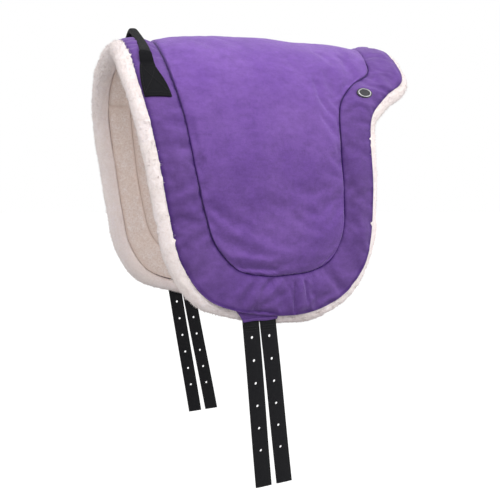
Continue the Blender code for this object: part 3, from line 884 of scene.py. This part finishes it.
def make_border(look):
    even = np.linspace(0.0, 1.0, BORDER_COLUMNS + 1)
    shares = 0.5 * (1.0 - faded(even)) + 0.5 * even
    pattern = border_grid(offset_loop(SEAM, -SEAM_GAP), EDGE, shares)
    wrinkles = BORDER_FOLDS + gathers()
    places, _, sewn = border_top(pattern, wrinkles)
    moved = settled(places, grid_faces(*sewn.shape, ring=True), sewn, BORDER_PUSH, BORDER_MOST)
    pattern = closer(pattern, 1, 1)
    places, height, _ = border_top(pattern, wrinkles)
    top = places + closer(moved, 1, 1)
    to_seam, to_edge, _ = across_border(pattern)
    tuck = np.clip((to_edge - ROLL_RADIUS - ROLL_SIDE_GAP) / 0.004, 0.0, 1.0)
    bottom = drape(pattern, np.minimum(-FOAM_DEPTH * tuck, height - SUEDE_THICKNESS))
    hem = turned_hem(pattern)
    # Dark along the seam, in part painted shade; the hem's stitch line; and painted shade along the edge
    # where the border curves under
    seams_and_painted_shade = peak(to_seam, SEAM_SHADE) + 0.9 * hem * peak(to_edge - HEM_WIDTH, SEWN_LINE_AND_SHADE)
    seams_and_painted_shade += 0.62 * (1.0 - hem) * peak(to_edge, EDGE_PAINTED_SHADE)
    border = make_panel("border_cushion", top, bottom, pattern, look, seams_and_painted_shade, ring=True)
    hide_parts("border_cover", "border_foam_left", "border_foam_right")


# The fleece


def roll_line():
    """The roll's middle line, its radius and the ways across it. It is squeezed flat behind the tabs."""
    past = np.abs(EDGE[:, 0] - TAB_CENTRE) - 0.5 * TAB_WIDTH - ROLL_SQUEEZE_MARGIN
    share = np.clip(past / ROLL_SQUEEZE_FADE, 0.0, 1.0)
    amount = np.where(np.abs(EDGE[:, 1]) > SHOULDER_ARC, faded(share), 0.0)
    radius = ROLL_RADIUS + (ROLL_SQUEEZED_RADIUS - ROLL_RADIUS) * amount
    top = ROLL_TOP_DEPTH + (ROLL_SQUEEZED_TOP - ROLL_TOP_DEPTH) * amount
    middle = drape(EDGE, -(top + radius))
    along = unit(np.roll(middle, -1, axis=0) - np.roll(middle, 1, axis=0))
    out = outward(EDGE)
    out = unit(out - along * (out * along).sum(axis=1)[:, None])
    return middle, radius, out, np.cross(along, out)


def make_roll(look):
    """The fleece roll round the edge, with a soft uneven pile, and its loose tips."""
    middle, radius, out, side = roll_line()
    cosine, sine = circle(ROLL_COLUMNS)
    way = out[:, None] * cosine[None, :, None] + side[:, None] * sine[None, :, None]
    free = 1.0 - np.clip(-sine, 0.0, 1.0) * np.where(cosine > -0.3, 1.0, 0.6)
    base = middle[:, None] + way * radius[:, None, None]
    beside_cover = np.clip(cosine, 0.0, 1.0) ** 2
    clumps = (0.0011 + 0.0012 * beside_cover) * lumps(base, 190.0)
    height = (ROLL_PLUMP + clumps + 0.0016 * lumps(base, 28.0)) * free
    points = base + way * height[..., None]
    faces = grid_faces(len(middle), ROLL_COLUMNS, ring=True, tube=True)
    girth = np.linspace(0.0, 2.0 * math.pi * ROLL_RADIUS, ROLL_COLUMNS, endpoint=False)
    uv = pairs(run_length(middle)[:, None], girth)
    roll = make_piece("fleece_roll", points, faces, [look], uv=uv, angle=180.0)
    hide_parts("edge_roll")
    rng = np.random.default_rng(11)
    row = rng.integers(0, len(middle), ROLL_TIPS)
    column = rng.integers(0, ROLL_COLUMNS, ROLL_TIPS)
    keep = rng.random(ROLL_TIPS) < free[column]
    pile = make_pile("fleece_roll_pile", points, way, row[keep], column[keep], look, rng, ROLL_PILE)


def make_pile(name, points, way, row, column, look, rng, tall):
    """Loose tips of the pile: slim closed spikes, each leaning its own way."""
    rows, columns = points.shape[:2]
    count = len(row)
    place = points[row, column]
    share = rng.random((2, count, 1))
    root = place + (points[(row + 1) % rows, column] - place) * share[0]
    root += (points[row, (column + 1) % columns] - place) * share[1]
    up = way[row, column]
    tip = unit(up + rng.normal(0.0, PILE_LEAN, (count, 3)))
    length = tall * (0.55 + 0.75 * rng.random((count, 1)))
    first = unit(np.cross(up, rng.normal(size=(count, 3))))
    second = np.cross(up, first)
    root -= up * PILE_ROOT
    corners = [root + (first * cosine + second * sine) * PILE_WIDTH for cosine, sine in zip(*circle(3))]
    spikes = np.stack([*corners, root + tip * length], axis=1)
    sides = np.array([[0, 1, 3], [1, 2, 3], [2, 0, 3], [2, 1, 0]])
    faces = (np.arange(count)[:, None, None] * 4 + sides).reshape(-1, 3)
    return make_piece(name, spikes, faces, [look], angle=180.0)


def make_lining(look):
    """Three fleece panels and the two border strips inside."""
    pattern = seat_grid(offset_loop(SEAM, SEAM_GAP))
    gullet = BRANCH_STEPS * GULLET_SPAN
    parts = {
        "lining_panel_left": pattern[:BRANCH - gullet + 1],
        "gullet_lining": pattern[BRANCH - gullet:BRANCH + gullet + 1],
        "lining_panel_right": pattern[BRANCH + gullet:],
    }
    for name, part in parts.items():
        part = part[:, ::2]
        rim = np.concatenate([part[:, 0], part[-1], part[::-1, -1], part[0, ::-1]])
        gap = distance_to(part, rim[:-1], rim[1:])
        line_with_fleece(name, part, gap, 0.0028 * ramp(gap, 0.012) ** 0.5, look)
    shares = np.linspace(0.0, 1.0, LINING_COLUMNS + 1)
    outer = offset_loop(EDGE, ROLL_RADIUS - LINING_TUCK)
    whole = border_grid(offset_loop(SEAM, -SEAM_GAP), outer, shares)
    half = RING // 2
    for name, side in SIDES.items():
        rows = np.arange(half + 1) if side < 0 else np.arange(half, RING + 1) % RING
        part = whole[rows].copy()
        part[..., 1] = side * np.maximum(side * part[..., 1], SEAM_GAP)
        width = np.linalg.norm(part[:, -1] - part[:, 0], axis=1)
        gap = np.minimum(shares, 1.0 - shares) * width[:, None]
        gap = np.minimum(gap, np.abs(np.abs(part[..., 1]) - GULLET_SEAM_ARC))
        line_with_fleece(f"lining_border_{name}", part, gap, 0.0034 * ramp(gap, 0.01) ** 0.6, look)


def line_with_fleece(node, pattern, gap, puff, look):
    """A fleece panel of the lining, puffed between its seams, and the loose tips of its pile."""
    soft = ripple(pattern, LINING_RIPPLES) * ramp(gap, 0.006)
    inside = drape(pattern, LINING_SEAM_DIP - PAD_THICKNESS - puff - soft)
    hidden = drape(pattern, LINING - PAD_THICKNESS)
    # Painted shade along the seams, where the puffed panels dip
    sewn = peak(gap, LINING_SEAM_SHADE)
    panel = make_panel(f"{node}_fleece", inside, hidden, pattern, look, sewn, sewn_below=0.0)
    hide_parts(node)
    rng = np.random.default_rng(LINING_TIPS + len(pattern))
    row = rng.integers(0, pattern.shape[0] - 1, LINING_TIPS)
    column = rng.integers(0, pattern.shape[1] - 1, LINING_TIPS)
    way = -outward(pattern)
    pile = make_pile(f"{node}_pile", inside, way, row, column, look, rng, LINING_PILE)


# The handle


def cover_height(pattern):
    """Height of the border's outside at pattern points, without its folds."""
    return border_height(across_border(pattern)[2])


def flat_section(squareness=0.3):
    """Outline of a flat strap as shares of its half width and half thickness."""
    return [np.sign(part) * np.abs(part) ** squareness for part in circle(24)]


def foot_point(share, across, side, above):
    """A place above the foot's bed: across runs from -1 at its front side to 1 at its rear side."""
    place = share * (len(FOOT_SIDES) - 1)
    i = min(int(place), len(FOOT_SIDES) - 2)
    low, high = np.array(FOOT_SIDES[i]), np.array(FOOT_SIDES[i + 1])
    arc, front, rear = low + (high - low) * (place - i)
    u = 0.5 * (front + rear) + 0.5 * (rear - front) * across
    pattern = pairs(u, side * arc)
    return drape(pattern, cover_height(pattern) + FOOT_GAP + above)


def foot_section(share, side):
    across, through = flat_section()
    return foot_point(share, across, side, 0.5 * FOOT_THICKNESS * (1.0 + through))


def handle_path(pivot):
    """Middle line of the arch from fold to fold, its widths and how near the crest each place is."""
    turn = np.linspace(0.0, math.pi, HANDLE_ROWS)
    crest = np.sin(turn)
    cosine = np.cos(turn)
    rise = HANDLE_RISE * crest**HANDLE_RISE_POWER
    reach = -cosine * ((cosine**2 + HANDLE_CREST**2) / (1.0 + HANDLE_CREST**2)) ** HANDLE_REACH_POWER
    bowed = pivot.x + HANDLE_SHIFT + HANDLE_LEAN * rise - HANDLE_BOW * rise**2
    middle = np.stack([bowed, pivot.y * reach, pivot.z + rise], axis=1)
    return middle, HANDLE_WIDTH - HANDLE_PINCH * crest**HANDLE_PINCH_POWER, crest


def arch_rows(middle, width, crest):
    """Sections of the arch, rounder and thicker at its crest, and the bend from fold to foot."""
    along = np.gradient(middle, axis=0)
    along[0] = (0.0, 0.0, 1.0)
    along[-1] = (0.0, 0.0, -1.0)
    along = unit(along)
    twist = HANDLE_TWIST * crest**2
    wide = np.stack([np.cos(twist), np.zeros_like(twist), np.sin(twist)], axis=1)
    wide = unit(wide - along * (wide * along).sum(axis=1)[:, None])
    proud = np.cross(wide, along)
    rows = []
    for i in range(len(middle)):
        flat, deep = flat_section(0.3 + 0.45 * crest[i] ** 3)
        thick = HANDLE_THICKNESS + (HANDLE_CREST_THICKNESS - HANDLE_THICKNESS) * crest[i] ** 3
        fold = 1.0 - 0.22 * peak(flat + 1.0, 0.12)
        row = middle[i] + wide[i] * (0.5 * width[i] * flat)[:, None]
        rows.append(row + proud[i] * (0.5 * thick * deep * fold)[:, None])
    through = flat_section()[1][:, None]
    ends = []
    for i, side in ((0, -1), (-1, 1)):
        foot = foot_section(0.0, side)
        steps = []
        for share in (0.25, 0.5, 0.75):
            row = foot * (1.0 - eased(share)) + rows[i] * eased(share)
            steps.append(row + proud[i] * through * math.sin(math.pi * share) * 0.0007)
        ends.append(steps)
    return [*ends[0], *rows, *ends[1][::-1]]


def make_handle(look):
    """Webbing sewn flat on the near border, folded double over the arch and sewn flat again."""
    across, _ = flat_section()
    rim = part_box("handle_grip")
    pivot = Vector((HANDLE_U, rim[1].y - 0.5 * HANDLE_THICKNESS, HINGES["handle_tilt"].z))
    places = np.linspace(1.0, 0.0, FOOT_ROWS)
    near, far = [[foot_section(share, side) for share in places] for side in SIDES.values()]
    points = np.array([*near, *arch_rows(*handle_path(pivot)), *far[::-1]])
    lengths = run_length(points.mean(axis=1))
    wide = np.linalg.norm(points[:, 0] - points[:, len(across) // 2], axis=1) * 0.5
    uv = pairs(across * wide[:, None], lengths[:, None])
    faces = closed_tube(*points.shape[:2])
    handle = make_piece("handle_webbing", points, faces, [look], body=None, uv=uv, angle=40.0)
    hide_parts("handle_grip", "handle_foot_left", "handle_foot_right")
    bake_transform(handle)


# The billets and their tabs


def strap_rows():
    """Places along a billet where its rows of points lie: close at the fold and beside each hole."""
    cell = 0.25 * BILLET_WIDTH
    rows = [-ANCHOR_LENGTH, -0.03, -0.018, BILLET_LENGTH, *np.arange(-0.01, 0.0101, 0.001)]
    for place in HOLE_PLACES:
        rows += [place - cell, place, *np.linspace(place + cell, place + HOLE_PITCH - cell, 5)]
    return sorted(row for row in set(np.round(rows, 6).tolist()) if row <= BILLET_LENGTH)


def punched_web():
    """The flat billet as a mesh in (across, along), with its holes."""
    bm = bmesh.new()
    along = strap_rows()
    across = np.linspace(-0.5, 0.5, 5) * BILLET_WIDTH
    grid = [[bm.verts.new((x, y, 0.0)) for x in across] for y in along]
    for low, high in zip(grid, grid[1:]):
        for c in range(len(across) - 1):
            bm.faces.new((low[c], low[c + 1], high[c + 1], high[c]))
    for middle in HOLE_PLACES:
        row = int(np.argmin(np.abs(np.array(along) - middle)))
        before, here, after = grid[row - 1:row + 2]
        rim = [here[3], after[3], after[2], after[1], here[1], before[1], before[2], before[3]]
        bmesh.ops.delete(bm, geom=[here[2]], context="VERTS")
        circles = zip(*circle(16))
        inner = [bm.verts.new((HOLE_RADIUS * x, middle + HOLE_RADIUS * y, 0.0)) for x, y in circles]
        for i in range(8):
            a, b = rim[i], rim[(i + 1) % 8]
            p, q, r = inner[2 * i], inner[2 * i + 1], inner[(2 * i + 2) % 16]
            for corners in ((a, b, q), (a, q, p), (b, r, q)):
                bm.faces.new(corners)
    return bm


def billet_set(name):
    """The side that a billet hangs on, its hinge, and how far it leans back along each metre."""
    lean = math.tan(math.radians(BILLET_LEANS[name]))
    return SIDES[name.split("_")[0]], HINGES[f"billet_{name}_fold"], lean


def make_billet(look, name):
    """A strap from its sewn end in the flap, over the fold at the tab and down to its cut tip."""
    side, hinge, lean = billet_set(name)
    down = Vector((0.0, side * math.cos(FLAP_ANGLE), -math.sin(FLAP_ANGLE)))
    proud = Vector(outward(np.array([0.0, side])))
    bm = punched_web()
    bmesh.ops.recalc_face_normals(bm, faces=bm.faces)
    bmesh.ops.solidify(bm, geom=bm.faces[:], thickness=BILLET_THICKNESS)
    bm.verts.index_update()
    middle = sum(v.co.z for v in bm.verts) / len(bm.verts)
    points = []
    uv = []
    for vert in bm.verts:
        x, along = vert.co.x, vert.co.y
        uv.append((x, along))
        out = math.copysign(0.5 * BILLET_THICKNESS, vert.co.z - middle)
        if min(math.hypot(x, along - place) for place in HOLE_PLACES) < 1.2 * HOLE_RADIUS:
            out += math.copysign(HOLE_LIP, out)
        out *= 1.0 - 0.35 * (2.0 * x / BILLET_WIDTH) ** 8
        if along < 0.0:
            points.append(hinge + Vector((x, 0.0, 0.0)) + down * along + proud * out)
        else:
            bow = 0.0006 * math.sin(along * 24.0) * min(along / 0.05, 1.0)
            points.append(hinge + Vector((x + lean * along, side * (out + bow), -along)))
    faces = [[vert.index for vert in face.verts] for face in bm.faces]
    bm.free()
    strap = make_piece(f"billet_{name}_webbing", points, faces, [look], body=None, uv=uv, angle=35.0)
    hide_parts(f"billet_{name}", f"billet_anchor_{name}")
    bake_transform(strap)


def drape_tab(pattern, height):
    """Places over a tab, whose bottom stays level where the ridge above it rises and falls."""
    places = drape(pattern, height)
    places[..., 2] += ridge_height(np.array(TAB_CENTRE)) - ridge_height(pattern[..., 0])
    return places


def make_tab(look, name, side):
    """The cloth tab that two billets come out of: its lower edge is turned up in a soft hem."""
    low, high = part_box(f"billet_tab_{name}")
    across = np.linspace(-0.5, 0.5, TAB_COLUMNS)[None, :]
    down = np.linspace(0.0, 1.0, TAB_ROWS)[:, None]
    flare = 1.0 + TAB_FLARE * (1.0 - down) ** 1.5 - 0.04 * down**4
    u = 0.5 * (low.x + high.x) + across * (high.x - low.x) * flare
    arc = FLAP_DROP - 0.0007 - TAB_HEIGHT * (1.0 - down)
    arc = arc + 0.0005 * np.sin(across * 9.0) * down**3
    pattern = pairs(u, side * arc)
    hem = peak(down - 0.9, 0.1) * (0.0009 + 0.00025 * np.sin(across * 31.0 + down * 5.0))
    end = 1.0 - np.maximum(down - 0.93, 0.0) / 0.07 * 0.55
    outside = drape_tab(pattern, hem - TAB_DEPTH)
    inside = drape_tab(pattern, -TAB_DEPTH - 0.0016 * end)
    # A dark band along the stitch row: in part the seam, in part painted shade
    sewn = np.broadcast_to(0.8 * peak(down - 0.76, 0.035), u.shape)
    tab = make_panel(f"billet_tab_{name}_cloth", outside, inside, pattern, look, sewn)
    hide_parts(f"billet_tab_{name}")


# The badge


def oval(sections, seat):
    rim = 0.5 * np.stack(circle(BADGE_TURNS), axis=-1) * (BADGE_LENGTH, BADGE_HEIGHT)
    seat = seat + float(cover_height(BADGE_PLACE + rim).max())
    return np.array([drape(BADGE_PLACE + rim * share, seat + height) for share, height in sections])


def make_badge(rubber, silver):
    face = oval(BADGE_FACE, BADGE_LIFT)
    base = make_piece("badge_face", face, closed_tube(*face.shape[:2]), [rubber], angle=40.0)
    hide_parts("badge_base")
    ring = oval(BADGE_RING, BADGE_LIFT)
    quads = grid_faces(*ring.shape[:2], ring=True, tube=True)
    rim = make_piece("badge_frame", ring, quads, [rubber, silver], angle=50.0)
    for face in rim.data.polygons:
        row = min(v // BADGE_TURNS for v in face.vertices)
        face.material_index = 1 if row < SILVER_ROWS else 0
    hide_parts("badge_rim")


# The stitching


def spaced(points, pitch):
    """Places at an even pitch along a line of points."""
    points = np.asarray(points)
    length = run_length(points)
    count = max(int(length[-1] / pitch), 1)
    at = np.arange(count + 1) * length[-1] / count
    return np.stack([np.interp(at, length, axis) for axis in points.T], axis=-1)


def make_stitches(name, lines, look, pitch=0.0032, radius=0.00032, body="pad"):
    """Stitches along some lines; each line is its places and the way out of the cloth there."""
    sides, rings = 6, 5
    cosine, sine = [part[:, None] for part in circle(sides)]
    points, faces = [], []
    for line, out in lines:
        places = spaced(line, pitch)
        for start, end in zip(places, places[1:]):
            along = end - start
            cross = unit(np.cross(along, out))
            first = len(points) * sides
            for share in np.linspace(0.0, 1.0, rings):
                bow = math.sin(math.pi * share)
                centre = start + along * (0.08 + 0.84 * share) + out * (radius * (1.3 * bow - 0.4))
                fat = radius * (0.45 + 0.55 * bow)
                points.append(centre + (cosine * out + sine * cross) * fat)
            faces += [[corner + first for corner in face] for face in closed_tube(rings, sides)]
    made = make_piece(name, np.concatenate(points), faces, [look], body, angle=180.0)


def foot_stitches(thread):
    """A sewn box with a cross in it on each foot of the handle."""
    corners = [(0.1, -0.84), (0.92, -0.9), (0.92, 0.9), (0.1, 0.84), (0.1, -0.84)]
    seams = [*zip(corners, corners[1:]), (corners[0], corners[2]), (corners[1], corners[3])]
    for name, side in SIDES.items():
        out = outward(np.array([HANDLE_U, side * 0.16]))
        lines = []
        for seam in seams:
            way = np.linspace(*seam, 13)
            places = [foot_point(share, across, side, FOOT_THICKNESS) for share, across in way]
            lines.append((places, out))
        make_stitches(f"handle_stitches_{name}", lines, thread)


def tab_stitches(thread):
    """The row that holds each tab's hem."""
    for name, side in SIDES.items():
        low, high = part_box(f"billet_tab_{name}")
        u = np.linspace(low.x + 0.002, high.x - 0.002, 20)
        pattern = pairs(u, side * (FLAP_DROP - 0.006))
        lines = [(drape_tab(pattern, 0.0006 - TAB_DEPTH), outward(pattern[0]))]
        make_stitches(f"tab_stitches_{name}", lines, thread, 0.003, 0.00028)


def billet_stitches(thread):
    """Three rows sewn across the outer face of each billet, just under its tab."""
    for name in BILLET_LEANS:
        side, hinge, lean = billet_set(name)
        out = np.array([0.0, side, 0.0])
        x = np.linspace(-0.4, 0.4, 9)[:, None] * (BILLET_WIDTH, 0.0, 0.0)
        lines = []
        for along in (0.005, 0.0085, 0.012):
            middle = np.array(hinge) + (lean * along, 0.0, -along)
            lines.append((middle + x + out * 0.5 * BILLET_THICKNESS, out))
        body = f"billet_{name}"
        make_stitches(f"{body}_stitches", lines, thread, 0.0028, 0.0003, body)


# The light, the floor and the camera


def make_studio():
    """Soft light from a pale sky and three lamps: over the near side, behind and in front."""
    scene.view_settings.view_transform = "Standard"
    world = bpy.data.worlds.new("studio")
    scene.world = world
    world.use_nodes = True
    world.node_tree.nodes.clear()
    studio = Nodes(world.node_tree)
    way = studio.node("ShaderNodeTexCoord", output="Generated")
    rise = studio.spread(studio.part(way, 2), -1.0, 1.0)
    seen = studio.seen_directly()
    strength = seen + (1.0 - seen) * (SKY_BELOW + rise * (SKY_ABOVE - SKY_BELOW))
    values = {"Color": (1.0, 1.0, 1.0, 1.0), "Strength": strength}
    light = studio.node("ShaderNodeBackground", None, values)
    studio.node("ShaderNodeOutputWorld", None, {"Surface": light})
    for name, (place, size, power) in LAMPS.items():
        lamp = bpy.data.lights.new(name, "AREA")
        lamp.shape = "DISK"
        lamp.size = size
        lamp.energy = power
        obj = linked(name, lamp)
        obj.location = place
        obj.rotation_euler = (LAMP_AIM - Vector(place)).to_track_quat("-Z", "Y").to_euler()


def make_floor():
    """A pale floor below the straps. It is white to the camera and keeps the pad's shadow."""
    look = Look("pale_floor", Roughness=0.9, Specular_IOR_Level=0.0, Base_Color=(0.42, 0.42, 0.42, 1.0))
    look.feed(Emission_Color=look.grey(look.seen_directly()), Emission_Strength=FLOOR_GLOW)
    corners = np.stack([*circle(64), np.zeros(64)], axis=-1) * FLOOR_RADIUS
    floor = linked("floor", raw_mesh("floor", corners, [range(64)]))
    floor.data.materials.append(look.material)
    floor.location.z = FLOOR_HEIGHT


def make_camera():
    right = CAMERA_RIGHT.normalized()
    back = right.cross(CAMERA_UP).normalized()
    turn = Matrix((right, back.cross(right), back)).transposed().to_4x4()
    data = bpy.data.cameras.new("camera")
    data.sensor_width = 36.0
    data.lens = CAMERA_LENS
    data.clip_start = 0.01
    camera = linked("camera", data)
    camera.matrix_world = Matrix.Translation(CAMERA_PLACE) @ turn
    scene.camera = camera


def main():
    make_camera()
    make_studio()
    make_floor()
    suede = suede_look("purple_suede")
    # Painted shade: a darker copy of the same suede for the border and the tabs
    border_suede_painted_shade = suede_look("purple_border_suede", 0.79)
    cream = [(0.95, 0.868, 0.885), (0.95, 0.868, 0.84), (0.88, 0.775, 0.745)]
    matted = [(0.975, 0.9, 0.88), (0.96, 0.845, 0.785), (0.79, 0.64, 0.57)]
    fleece = fleece_look("cream_fleece", *cream, 0.22)
    lining = fleece_look("lining_fleece", *matted, 0.5)
    webbing = webbing_look("black_webbing")
    make_seat(suede)
    make_border(border_suede_painted_shade)
    make_roll(fleece)
    make_lining(lining)
    make_handle(webbing)
    for side_name, side in SIDES.items():
        make_tab(border_suede_painted_shade, side_name, side)
        for end_name in ("front", "rear"):
            make_billet(webbing, f"{side_name}_{end_name}")
    rubber = moulded_look("badge_rubber", (0.035, 0.034, 0.04), 0.42)
    silver = moulded_look("badge_silver", (0.62, 0.61, 0.63), 0.28, 0.9)
    make_badge(rubber, silver)
    black = thread_look("black_thread", (0.006, 0.006, 0.007))
    foot_stitches(black)
    billet_stitches(black)
    tab_stitches(thread_look("purple_thread", (0.14, 0.06, 0.28)))


main()
